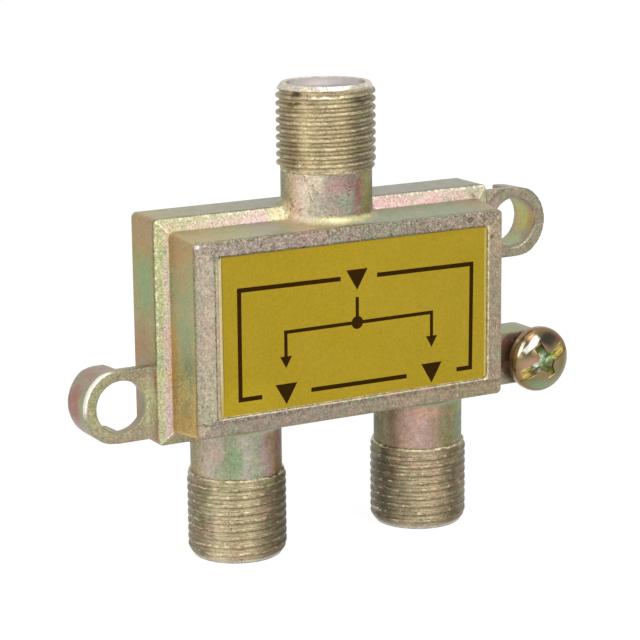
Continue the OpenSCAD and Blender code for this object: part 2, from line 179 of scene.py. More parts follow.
def surface_net(field, low, high, step):
    """Quads along the zero level of a field, with its sharp edges kept.

    Each cell of a regular grid that the surface crosses gets the point that lies best on
    the planes found where the surface crosses the cell's edges.
    """
    axes = [np.arange(a, b + step, step, dtype=np.float32) for a, b in zip(low, high)]
    value = field(*np.meshgrid(*axes, indexing="ij", sparse=True))
    inside = value < 0
    shape = [n - 1 for n in inside.shape]
    total = np.zeros(shape, np.uint8)
    for i, j, k in np.ndindex(2, 2, 2):
        total += inside[i:i + shape[0], j:j + shape[1], k:k + shape[2]]
    cells = np.argwhere((total > 0) & (total < 8))
    count = len(cells)
    number = np.full(shape, -1, np.int32)
    number[tuple(cells.T)] = np.arange(count)
    sums = np.zeros((13, count))
    quads = []
    for axis in range(3):
        u, v = [n for n in range(3) if n != axis]
        start = inside[tuple(slice(0, -1) if n == axis else slice(None) for n in range(3))]
        end = inside[tuple(slice(1, None) if n == axis else slice(None) for n in range(3))]
        edges = np.argwhere(start != end)
        outward = start[tuple(edges.T)]
        va = value[tuple(edges.T)]
        beyond = edges.copy()
        beyond[:, axis] += 1
        vb = value[tuple(beyond.T)]
        point = edges.astype(float)
        point[:, axis] += va / (va - vb)
        point = np.array(low) + point * step
        n = slope(field, point)
        n /= np.maximum(np.linalg.norm(n, axis=1, keepdims=True), 1e-6)
        level = (n * point).sum(1)
        parts = [n[:, i] * n[:, j] for i in range(3) for j in range(i, 3)]
        parts += [n[:, i] * level for i in range(3)]
        parts += [point[:, i] for i in range(3)] + [np.ones(len(point))]
        ring = []
        for du, dv in ((-1, -1), (0, -1), (0, 0), (-1, 0)):
            at = edges.copy()
            at[:, u] += du
            at[:, v] += dv
            cell = number[tuple(at.T)]
            ring.append(cell)
            for row, part in enumerate(parts):
                sums[row] += np.bincount(cell, part, count)
        ring = np.stack(ring, 1)
        if axis == 1:
            outward = ~outward
        quads.append(np.where(outward[:, None], ring, ring[:, ::-1]))
    xx, xy, xz, yy, yz, zz = sums[:6]
    matrix = np.stack([xx, xy, xz, xy, yy, yz, xz, yz, zz], 1).reshape(-1, 3, 3)
    middle = (sums[9:12] / sums[12]).T
    rest = sums[6:9].T - np.einsum("nij,nj->ni", matrix, middle)
    move = np.linalg.solve(matrix + 0.05 * np.eye(3), rest[..., None])[..., 0]
    reach = np.maximum(np.linalg.norm(move, axis=1, keepdims=True) / (0.8 * step), 1)
    return middle + move / reach, np.concatenate(quads)


def slope(field, p, d=0.02):
    """Gradient of a field at the points p."""
    x, y, z = p.T
    return np.stack([
        field(x + d, y, z) - field(x - d, y, z),
        field(x, y + d, z) - field(x, y - d, z),
        field(x, y, z + d) - field(x, y, z - d)], 1) / (2 * d)


def mesh_from(name, points, faces):
    """A mesh from arrays of points in mm and of faces with one corner count."""
    mesh = bpy.data.meshes.new(name)
    n, k = faces.shape
    mesh.vertices.add(len(points))
    mesh.vertices.foreach_set("co", (np.asarray(points) * MM).astype(np.float32).ravel())
    mesh.loops.add(n * k)
    mesh.loops.foreach_set("vertex_index", faces.astype(np.int32).ravel())
    mesh.polygons.add(n)
    mesh.polygons.foreach_set("loop_start", np.arange(0, n * k, k, dtype=np.int32))
    mesh.update(calc_edges=True)
    mesh.validate()
    return mesh


def points_of(mesh):
    co = np.zeros(len(mesh.vertices) * 3)
    mesh.vertices.foreach_get("co", co)
    return co.reshape(-1, 3) / MM


def add_piece(name, mesh, material):
    piece = scene_object(name, mesh)
    mesh.materials.clear()
    mesh.materials.append(material)
    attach(piece, "root")
    return piece


def corner_normals(field, mesh):
    """Normals of the field a little way into each face from each of its corners."""
    corner = np.zeros(len(mesh.loops), np.int32)
    mesh.loops.foreach_get("vertex_index", corner)
    sides = np.zeros(len(mesh.polygons), np.int32)
    mesh.polygons.foreach_get("loop_total", sides)
    centre = np.zeros(3 * len(mesh.polygons))
    mesh.polygons.foreach_get("center", centre)
    centre = np.repeat(centre.reshape(-1, 3) / MM, sides, axis=0)
    place = points_of(mesh)[corner]
    way = centre - place
    far = np.linalg.norm(way, axis=1, keepdims=True)
    normal = slope(field, place + way * np.minimum(0.07 / np.maximum(far, 1e-6), 1))
    return normal / np.maximum(np.linalg.norm(normal, axis=1, keepdims=True), 1e-6)


def field_piece(name, field, low, high, step, triangles_left, material):
    """A piece whose surface is the zero level of a field, thinned where it is flat."""
    points, quads = surface_net(field, low, high, step)
    mesh = mesh_from(name, points, quads)
    piece = add_piece(name, mesh, material)
    triangles = 2 * len(quads)
    if triangles > triangles_left:
        thin = piece.modifiers.new("thin", "DECIMATE")
        thin.ratio = triangles_left / triangles
        bpy.context.view_layer.update()
        seen = piece.evaluated_get(bpy.context.evaluated_depsgraph_get())
        thinned = bpy.data.meshes.new_from_object(seen)
        piece.modifiers.clear()
        piece.data = thinned
        bpy.data.meshes.remove(mesh)
        mesh = thinned
        mesh.name = name
    mesh.shade_smooth()
    mesh.normals_split_custom_set(corner_normals(field, mesh).tolist())
    mesh.update()
    return piece


# The casting

def box_field(x, y, z):
    """Rear tier with its bevelled step, and the drafted front box."""
    rim = round_rect(x, z, TIER_HALF_W, TIER_HALF_H, TIER_CORNER)
    rise = TIER_FRONT - FOOT_Y
    size = math.hypot(STEP_W, rise)
    bevel = (rim * rise - (y - TIER_FRONT) * STEP_W) / size
    tier = both(np.maximum(rim, y), np.maximum(bevel, FOOT_Y - y), 0.1)
    run = np.clip((FOOT_Y - y) / (FOOT_Y - FACE_Y), 0, 1.2)
    walls = round_rect(x, z, BOX_HALF_W - DRAFT * run, BOX_HALF_H - DRAFT * run, BOX_CORNER)
    box = both(np.maximum(walls, y + 1), FACE_Y - y, 0.25)
    return either(tier, box, 0.08)


def ear_field(x, y, z, reach):
    """Ear about its hole, with the box at -X; reach is the distance to the box's side."""
    outline = np.hypot(x, z) - EAR_R
    neck = np.maximum(between(x, -reach - 1, 0), np.abs(z) - EAR_R)
    behind = y + EAR_T
    high = EAR_HALF_H - EAR_DRAFT * behind
    outline = np.minimum(outline, neck)
    outline = both(both(outline, z - high, 0.5), -z - EAR_HALF_H, 0.5)
    swell = np.clip(1 - (x + reach) / EAR_FLARE, 0, 1) ** 2 * (-TIER_FRONT - EAR_T)
    plate = both(np.maximum(outline, y), -EAR_T - swell - y, 0.2)
    gap = np.maximum(between(x, -reach - 0.5, 0), -EAR_T + WEB_T - y)
    draft = HOLE_DRAFT * np.clip(1 + y / (EAR_T - WEB_T), 0, 1)
    cut = either(np.hypot(x, z) - EAR_HOLE_R - draft, gap)
    return without(plate, cut, 0.1)


def housing_field(x, y, z):
    """Distance to the casting's surface: negative in the metal."""
    solid = box_field(x, y, z)
    bores = np.float32(1e3)
    for port_x, up in PORTS.values():
        radial = np.hypot(x - port_x, y - PORT_Y)
        along = up * z
        # The core of the thread is thinner than the neck and lies inside the thread piece
        on_core = np.clip((along - NECK_END) / 0.1, 0, 1)
        neck = both(radial - NECK_R + 0.3 * on_core, along - CORE_END, 0.05)
        neck = np.maximum(neck, NECK_START - along)
        solid = either(solid, neck, PORT_FILLET)
        bores = np.minimum(bores, np.maximum(radial - BORE_R, BORE_START - along))
    for ear_x, ear_z, side in EARS.values():
        reach = abs(ear_x) - TIER_HALF_W
        solid = either(solid, ear_field(side * (x - ear_x), y, z - ear_z, reach), 0.08)
    lug = np.hypot(np.maximum(x, TIER_HALF_W - 1) - LUG_X, z - LUG_Z) - LUG_R
    lug = np.minimum(lug, np.maximum(between(x, TIER_HALF_W - 1, LUG_X), np.abs(z - LUG_Z) - LUG_R))
    solid = either(solid, both(lug, between(y, -LUG_T, 0), 0.15), 0.25)
    room = np.maximum(round_rect(x, z, *ROOM_HALF, BOX_CORNER), ROOM_FRONT - y)
    tier_room = round_rect(x, z, TIER_HALF_W - WALL, TIER_HALF_H - WALL, 1.0)
    room = np.minimum(room, np.maximum(tier_room, TIER_ROOM_FRONT - y))
    rebate = np.maximum(round_rect(x, z, COVER_HALF_W, COVER_HALF_H, 1.0), -COVER_T - y)
    posts = np.hypot(np.abs(x) - POST_X, np.abs(z) - POST_Z)
    posts = np.maximum(posts - np.where(y > POST_END, SPIGOT_R, POST_R), y - SPIGOT_END)
    room = without(np.minimum(room, rebate), posts)
    solid = without(solid, np.minimum(room, bores), 0.1)
    recess = round_rect(x - RECESS_MIDDLE[0], z - RECESS_MIDDLE[1], *RECESS_HALF, RECESS_CORNER)
    solid = without(solid, np.maximum(recess, y - RECESS_FLOOR), 0.12)
    solid = without(solid, np.hypot(x - LUG_X, z - LUG_Z) - LUG_HOLE_R)
    for px, py, pz, r in PITS:
        pit = np.sqrt((x - px) ** 2 + (y - py) ** 2 + (z - pz) ** 2) - r
        solid = without(solid, pit, 0.06)
    return solid


# Threads

PITCH = 0.794
CREST_R = 4.72
MOUTH_R = 4.2
LEAD = 0.9
CORE_R = 3.6
ROWS_PER_TURN = 14
AROUND = 160
# Name, start, plain band, depth, height of a crest, seed, and shift of the material
THREADS = [("in", 13.8, 0.1, 0.37, 0.718, 3, 0), ("out_left", 13.85, 0.15, 0.17, 0.6, 5, 40),
           ("out_right", 13.85, 0.15, 0.17, 0.7, 8, 80)]


def wobble(seed, count, *coords):
    """Smooth seeded unevenness from a few waves, about -1 to 1."""
    random = np.random.default_rng(seed)
    total = 0
    for _ in range(count):
        phase = random.uniform(0, 2 * math.pi)
        for c, limit in coords:
            phase = phase + c * random.uniform(-limit, limit)
        total = total + np.sin(phase)
    return total / math.sqrt(count)


def ring_quads(i, i2, j, j2):
    return np.stack([i * AROUND + j, i * AROUND + j2, i2 * AROUND + j2, i2 * AROUND + j], -1)


def thread_piece(name, low, plain, depth, crest_at, seed, material):
    """Threaded end of a port: the helix, the mouth's rim and the bore behind it.

    It starts at the height low above the middle of the box, with a plain band. The
    helix is right-handed, and a crest passes the angle 0 at the height crest_at.
    """
    port_x, up = PORTS[name]
    step = PITCH / ROWS_PER_TURN
    rows = int((PORT_END - low) / step) + ROWS_PER_TURN + 8
    angle = 2 * math.pi * np.arange(AROUND) / AROUND
    row, turn = np.meshgrid(np.arange(rows), angle, indexing="ij")
    level = low - PITCH + row * step
    along = level + PITCH * turn / (2 * math.pi)
    wave = 0.5 + 0.5 * np.cos(2 * math.pi * (level - crest_at) / PITCH)
    ridge = np.clip((wave - 0.06) / 0.86, 0, 1)
    ridge = (ridge * ridge * (3 - 2 * ridge)) ** 1.15
    ridge = ridge * np.clip((along - low - plain) / 0.5, 0, 1)
    radius = CREST_R - depth + depth * ridge
    radius = radius + 0.016 * wobble(seed, 24, (np.cos(turn), 14), (np.sin(turn), 14), (along, 7))
    lead = np.maximum(along - (PORT_END - LEAD), 0)
    radius = np.minimum(radius, CREST_R - 0.02 - (CREST_R - MOUTH_R) * (lead / LEAD) ** 1.5)
    radius = np.maximum(radius, MOUTH_R)
    radius = np.minimum(radius, 4.1 + np.clip((along - low) / 0.25, 0, 1) * 1.2)
    height = np.clip(along, low, PORT_END)
    rings = [np.stack([radius * np.cos(turn), radius * np.sin(turn), height], -1)]
    inside = [(MOUTH_R - 0.1, PORT_END), (3.78, PORT_END - 0.04), (BORE_R + 0.05, PORT_END - 0.6),
              (BORE_R, PORT_END - 0.7), (BORE_R, CORE_END - 0.1),
              (CORE_R, CORE_END - 0.15), (CORE_R, low)]
    for r, h in inside:
        ring = [r * np.cos(angle), r * np.sin(angle), np.full(AROUND, h)]
        rings.append(np.stack(ring, -1)[None])
    points = np.concatenate(rings)
    count = len(points)
    points = points.reshape(-1, 3)
    i, j = np.meshgrid(np.arange(rows - 1), np.arange(AROUND - 1), indexing="ij")
    quads = [ring_quads(i, i + 1, j, j + 1)]
    # The last column meets the first one a whole pitch further up the helix
    i = np.arange(rows - 1 - ROWS_PER_TURN)
    seam = [i * AROUND + AROUND - 1, (i + ROWS_PER_TURN) * AROUND,
            (i + ROWS_PER_TURN + 1) * AROUND, (i + 1) * AROUND + AROUND - 1]
    quads.append(np.stack(seam, -1))
    i, j = np.meshgrid(np.arange(rows - 1, count), np.arange(AROUND), indexing="ij")
    after = np.where(i + 1 == count, 0, i + 1)
    quads.append(ring_quads(i, after, j, (j + 1) % AROUND))
    faces = np.concatenate([q.reshape(-1, 4) for q in quads])
    points = points * (up, 1, up) + (port_x, PORT_Y, 0)
    mesh = mesh_from(name + "_thread", points, faces)
    tidy_mesh(mesh)
    mesh.shade_smooth()
    add_piece(name + "_thread", mesh, material)


def tidy_mesh(mesh):
    """Merges points that lie on each other and turns every face outward."""
    work = bmesh.new()
    work.from_mesh(mesh)
    bmesh.ops.remove_doubles(work, verts=work.verts, dist=2e-7)
    bmesh.ops.dissolve_degenerate(work, dist=1e-7, edges=work.edges)
    loose = [v for v in work.verts if not v.link_faces]
    bmesh.ops.delete(work, geom=loose, context="VERTS")
    bmesh.ops.recalc_face_normals(work, faces=work.faces)
    work.to_mesh(mesh)
    work.free()


# Ground screw

SCREW_X = 24.27
SCREW_Z = -7.7
SCREW_SPHERE = 5.1
HEAD_R = 3.31
HEAD_BASE = -4.65
HEAD_TOP = -6.8
SHANK_R = 1.45
SLOT_ANGLE = math.radians(27)
SLOT_HALF_W = 0.56
SLOT_DEPTH = 1.15
WING_HALF_W = 0.5
WING_REACH = 2.1
CROSS_DEPTH = 1.6


def screw_field(x, y, z):
    """Pan head with a slot across it, a cross recess, and the shank in the lug."""
    dx = x - SCREW_X
    dz = z - SCREW_Z
    radial = np.hypot(dx, dz)
    dome = np.sqrt(dx * dx + dz * dz + (y - HEAD_TOP - SCREW_SPHERE) ** 2) - SCREW_SPHERE
    head = both(radial - HEAD_R, y - HEAD_BASE, 0.2)
    head = both(head, dome, 0.25)
    along = dx * math.cos(SLOT_ANGLE) + dz * math.sin(SLOT_ANGLE)
    across = dz * math.cos(SLOT_ANGLE) - dx * math.sin(SLOT_ANGLE)
    deep = y - HEAD_TOP
    slot = np.maximum(np.abs(across) - SLOT_HALF_W, deep - SLOT_DEPTH)
    half_w = WING_HALF_W - 0.2 * deep
    wing_a = np.maximum(np.abs(across) - half_w, np.abs(along) - WING_REACH + 0.7 * deep)
    wing_b = np.maximum(np.abs(along) - half_w, np.abs(across) - WING_REACH + 0.7 * deep)
    core = radial - 1.0 + 0.3 * deep
    cross = np.maximum(either(either(wing_a, wing_b, 0.15), core, 0.1), deep - CROSS_DEPTH)
    head = without(head, either(slot, cross, 0.1), 0.12)
    shank = np.maximum(radial - SHANK_R, between(y, HEAD_BASE - 0.3, -0.05))
    return np.minimum(head, shank)


# Label print

INK_Y = RECESS_FLOOR - 0.12
INK_T = 0.012
INK_SUNK = 0.004
LINE = 0.42
THIN_LINE = 0.34


def stroke(points, width=LINE):
    """Outline of a line of even width along the points, with mitred corners."""
    points = [Vector(p) for p in points]
    ways = [(b - a).normalized() for a, b in zip(points, points[1:])]
    sides = []
    for i, p in enumerate(points):
        before = ways[max(i - 1, 0)].orthogonal()
        after = ways[min(i, len(ways) - 1)].orthogonal()
        middle = (before + after).normalized()
        sides.append((p, middle * (width / 2 / middle.dot(after))))
    return [p + side for p, side in sides] + [p - side for p, side in reversed(sides)]


def disc(x, z, r, count=40):
    turn = [2 * math.pi * i / count for i in range(count)]
    return [(x + r * math.cos(t), z + r * math.sin(t)) for t in turn]


def pointer(x, z, half_w, half_h):
    return [(x, z - half_h), (x + half_w, z + half_h), (x - half_w, z + half_h)]


def ink_outlines():
    """Flat outlines of the print: the broken frame, port marks and a splitter diagram."""
    middle, left, right = 0.34, -7.32, 8.55
    shapes = [stroke([(-1.43, 4.27), (-12.09, 4.37), (-12.13, -5.91), (-9.88, -5.92)]),
              stroke([(2.52, 4.22), (13.08, 4.13), (12.98, -6.11), (11.40, -6.1)]),
              stroke([(-4.67, -5.95), (5.75, -6.02)])]
    # Port marks in the gaps of the frame
    shapes += [pointer(middle, 4.02, 1.15, 0.98), pointer(left, -5.98, 1.15, 0.98),
               pointer(right, -6.05, 1.15, 0.98)]
    # One line in and two lines out
    shapes += [stroke([(middle, 2.35), (middle, 0.52)], THIN_LINE), disc(middle, -0.1, 0.62)]
    for x, start in ((left, middle - 0.62), (right, middle + 0.62)):
        shapes += [stroke([(start, -0.1), (x, -0.1), (x, -2.4)], THIN_LINE),
                   pointer(x, -2.95, 0.62, 0.55)]
    return shapes


def ink_piece(material):
    """The print as one thin solid for each outline."""
    points = []
    faces = []
    for shape in ink_outlines():
        first = len(points)
        n = len(shape)
        points += [(x, y, z) for y in (INK_Y - INK_T, INK_Y + INK_SUNK) for x, z in shape]
        faces.append([first + i for i in range(n)])
        faces.append([first + n + i for i in reversed(range(n))])
        for i in range(n):
            j = (i + 1) % n
            faces.append([first + j, first + i, first + n + i, first + n + j])
    mesh = bpy.data.meshes.new("label_print")
    mesh.from_pydata([Vector(p) * MM for p in points], [], faces)
    tidy_mesh(mesh)
    add_piece("label_print", mesh, material)


# Materials

def tone(r, g, b):
    """Scene-linear colour of a display colour given as 0 to 255."""
    def one(v):
        v /= 255
        return v / 12.92 if v <= 0.04045 else ((v + 0.055) / 1.055) ** 2.4
    return (one(r), one(g), one(b), 1.0)


class Nodes:
    """A node tree that is built by calls that each return an output socket."""

    def __init__(self, tree, output):
        self.tree = tree
        tree.nodes.clear()
        self.output = tree.nodes.new("ShaderNodeOutput" + output)

    def node(self, kind, inputs=(), **settings):
        """A new node; its inputs, listed or by name, are linked to sockets or set to values."""
        made = self.tree.nodes.new("ShaderNode" + kind)
        for key, value in settings.items():
            setattr(made, key, value)
        named = inputs if isinstance(inputs, dict) else dict(enumerate(inputs))
        for key, value in named.items():
            if isinstance(value, bpy.types.NodeSocket):
                self.tree.links.new(value, made.inputs[key])
            elif value is not None:
                made.inputs[key].default_value = value
        return made

    def shader(self, kind, inputs=()):
        return self.node(kind, inputs).outputs[0]

    def end(self, shader):
        self.tree.links.new(shader, self.output.inputs[0])

    def math(self, operation, a, b=None, clamp=False):
        return self.node("Math", (a, b), operation=operation, use_clamp=clamp).outputs[0]


class Shader(Nodes):
    """A material whose colour is painted in layers; places are in mm."""

    def __init__(self, name):
        self.material = bpy.data.materials.new(name)
        self.material.use_nodes = True
        super().__init__(self.material.node_tree, "Material")
        self.place = self.node("TexCoord").outputs["Object"]
        self.place = self.stretched((1 / MM,) * 3)
        self.x, self.y, self.z = self.split(self.place)
        self.colour = None

    def vector(self, operation, a, b=None, out="Vector"):
        return self.node("VectorMath", (a, b), operation=operation).outputs[out]

    def stretched(self, factors):
        return self.vector("MULTIPLY", self.place, factors)

    def shifted(self, x, y, z):
        return self.vector("ADD", self.place, (x, y, z))

    def offset(self, point):
        return self.vector("SUBTRACT", self.place, point)

    def length(self, vector):
        return self.vector("LENGTH", vector, out="Value")

    def dot(self, a, b):
        return self.vector("DOT_PRODUCT", a, b, out="Value")

    def split(self, vector):
        return self.node("SeparateXYZ", [vector]).outputs

    def fold(self, operation, values):
        return functools.reduce(lambda a, b: self.math(operation, a, b), values)

    def times(self, *values):
        return self.fold("MULTIPLY", values)

    def plus(self, *values):
        return self.fold("ADD", values)

    def larger(self, *values):
        return self.fold("MAXIMUM", values)

    def minus(self, a, b):
        return self.math("SUBTRACT", a, b)

    def absolute(self, a):
        return self.math("ABSOLUTE", a)

    def noise(self, scale, detail=2.0, rough=0.5, place=None, out="Fac"):
        inputs = {"Vector": place or self.place, "Scale": scale, "Detail": detail,
                  "Roughness": rough}
        return self.node("TexNoise", inputs).outputs[out]

    def warped(self, scale, amount):
        """The place, shifted unevenly."""
        shift = self.vector("SUBTRACT", self.noise(scale, out="Color"), (0.5, 0.5, 0.5))
        return self.vector("ADD", self.place, self.vector("MULTIPLY", shift, (amount,) * 3))

    def span(self, value, low, high, to_low=0.0, to_high=1.0, kind="SMOOTHSTEP"):
        """Takes a value from the range of low and high to that of to_low and to_high."""
        inputs = (value, low, high, to_low, to_high)
        made = self.node("MapRange", inputs, clamp=True, interpolation_type=kind)
        return made.outputs["Result"]

    def ramp(self, value, *stops):
        """Tones over a value from stops, each a value and a display colour."""
        made = self.node("ValToRGB", [value])
        elements = made.color_ramp.elements
        while len(elements) < len(stops):
            elements.new(0.5)
        for element, (at, *rgb) in zip(elements, stops):
            element.position = at
            element.color = tone(*rgb)
        return made.outputs[0]

    def along(self, place, stops):
        """Tones over a coordinate from stops, each a place and a display colour."""
        low, high = stops[0][0], stops[-1][0]
        share = self.span(place, low, high, kind="LINEAR")
        return self.ramp(share, *[((at - low) / (high - low), *rgb) for at, *rgb in stops])

    def mix(self, share, a, b, blend="MIX"):
        made = self.node("Mix", {0: share, 6: a, 7: b}, data_type="RGBA", blend_type=blend)
        return made.outputs[2]

    def paint(self, colour, *shares):
        """Lays a display colour or a socket over the colour so far, by all the shares."""
        if isinstance(colour, tuple):
            colour = tone(*colour)
        self.colour = self.mix(self.times(*shares), self.colour, colour)

    def tint(self, place, patches):
        """Paints soft-edged patches about points: point, reach, display colour and share."""
        for at, reach, rgb, share in patches:
            offset = self.vector("DIVIDE", self.vector("SUBTRACT", place, at), reach)
            self.paint(rgb, self.span(self.length(offset), 0.35, 1.0, share, 0.0))

    def shade(self, light):
        grey = self.vector("MULTIPLY", (1, 1, 1), light)
        self.colour = self.mix(1.0, self.colour, grey, "MULTIPLY")

    def grained(self, amount, *layers):
        """Makes the colour lighter and darker by layers of noise about 0.5."""
        parts = [self.times(self.minus(layer, 0.5), weight) for layer, weight in layers]
        self.shade(self.plus(self.times(self.plus(*parts), amount), 1.0))

    def dots(self, scale, share, size, depth, place=None):
        """Small soft dots in a given share of the cells of a Voronoi pattern."""
        cells = self.node("TexVoronoi", {"Vector": place or self.place, "Scale": scale}).outputs
        near = self.span(cells["Distance"], size, 0.5 * size, 0.0, depth)
        return self.times(near, self.math("LESS_THAN", self.split(cells["Color"])[0], share))

    def bump(self, height, distance, strength=1.0, normal=None):
        inputs = {"Height": height, "Distance": distance * MM, "Strength": strength,
                  "Normal": normal}
        return self.node("Bump", inputs).outputs["Normal"]

    def principled(self, **values):
        inputs = {key.replace("_", " "): value for key, value in values.items()}
        self.end(self.shader("BsdfPrincipled", {"Base Color": self.colour, **inputs}))
        return self.material


# Tones of the yellow chromate along the casting's faces: place in mm, display colour
FACE_TONES = {
    "tier_side": [(-10, 164, 134, 108), (-4, 168, 136, 96), (0, 160, 150, 98), (5, 154, 158, 100),
                  (8, 168, 146, 84), (10.5, 172, 144, 104)],
    "outer_side": [(-10, 190, 188, 148), (-3, 188, 190, 142), (3, 182, 188, 138),
                   (10, 190, 190, 140)],
    "inner_side": [(-10, 204, 180, 172), (-3, 208, 184, 174), (2, 206, 188, 170),
                   (10, 202, 190, 156)],
    "box_side": [(-9, 212, 176, 104), (-5, 214, 196, 132), (0, 182, 176, 126), (4, 166, 166, 120),
                 (7, 180, 160, 112), (9, 184, 150, 106)],
    "tier_top": [(-17, 166, 156, 114), (-10, 154, 153, 129), (8, 146, 146, 130),
                 (17, 150, 148, 128)],
    "outer_top": [(-17, 188, 188, 148), (-10, 200, 194, 164), (-5, 224, 196, 194),
                  (10, 216, 190, 178), (17, 200, 186, 166)],
    "inner_top": [(-17, 196, 186, 152), (-12, 208, 186, 172), (-6, 228, 197, 201),
                  (10, 222, 186, 182), (17, 204, 182, 166)],
    "box_top": [(-16, 186, 170, 124), (-12, 182, 178, 134), (-7, 176, 178, 158),
                (-4, 208, 190, 156), (5, 152, 166, 134), (12, 156, 164, 132), (16, 170, 156, 126)],
    "rim_top": [(-15, 162, 148, 136), (-5, 154, 140, 128), (6, 146, 136, 120),
                (15, 148, 134, 118)],
    "rim_low": [(-15, 151, 140, 126), (-5, 150, 136, 122), (6, 148, 136, 112),
                (15, 152, 136, 110)],
    "rim_left": [(-8, 174, 168, 140), (-2, 180, 168, 146), (4, 184, 170, 150), (8, 180, 164, 148)],
    "rim_right": [(-8, 158, 140, 120), (0, 153, 139, 118), (8, 168, 152, 126)],
}

# Tones with painted light and shade round the ports: place across the port from -1 to 1, seen from
# the front left
NECK_TONES_LIGHT_AND_SHADE = {
    "in": [(-1, 132, 134, 92), (-0.84, 194, 180, 136), (-0.68, 236, 208, 182),
           (-0.45, 250, 234, 216), (-0.1, 182, 170, 154), (0.3, 150, 138, 124),
           (0.6, 136, 116, 104), (0.85, 142, 132, 80), (1, 108, 116, 66)],
    "out_left": [(-1, 130, 120, 76), (-0.85, 166, 150, 114), (-0.55, 196, 184, 168),
                 (-0.1, 144, 154, 120), (0.25, 178, 170, 158), (0.5, 150, 160, 134),
                 (0.7, 158, 136, 128), (0.85, 136, 110, 74), (1, 112, 92, 54)],
    "out_right": [(-1, 86, 90, 56), (-0.8, 132, 122, 86), (-0.45, 180, 150, 130),
                  (0.1, 184, 152, 144), (0.6, 130, 118, 80), (0.85, 124, 126, 84),
                  (1, 100, 120, 92)],
}
# Painted light and shade round the threads, with their tones, in the same way
THREAD_TONES_LIGHT_AND_SHADE = {
    "in": [(-1, 148, 136, 98), (-0.7, 172, 154, 116), (-0.4, 226, 210, 168),
           (-0.15, 196, 180, 142), (0.35, 184, 168, 130), (0.6, 134, 120, 92), (1, 134, 124, 92)],
    "out_left": [(-1, 122, 110, 84), (-0.7, 138, 125, 96), (-0.35, 206, 190, 156),
                 (0, 166, 152, 118), (0.3, 174, 160, 126), (0.6, 122, 109, 82), (1, 80, 70, 44)],
    "out_right": [(-1, 112, 106, 80), (-0.75, 82, 74, 54), (-0.4, 158, 144, 114),
                  (-0.15, 168, 153, 122), (0.3, 160, 145, 113), (0.65, 108, 95, 70),
                  (1, 110, 96, 68)],
}
# Shares of the painted light in the roots, the painted shade on the flanks, and the wear and
# painted highlight on the crests
THREAD_WEAR_LIGHT_AND_SHADE = {"in": (0.0, 0.05, 0.3), "out_left": (0.0, 0.3, 0.6), "out_right": (0.0, 0.3, 0.6)}
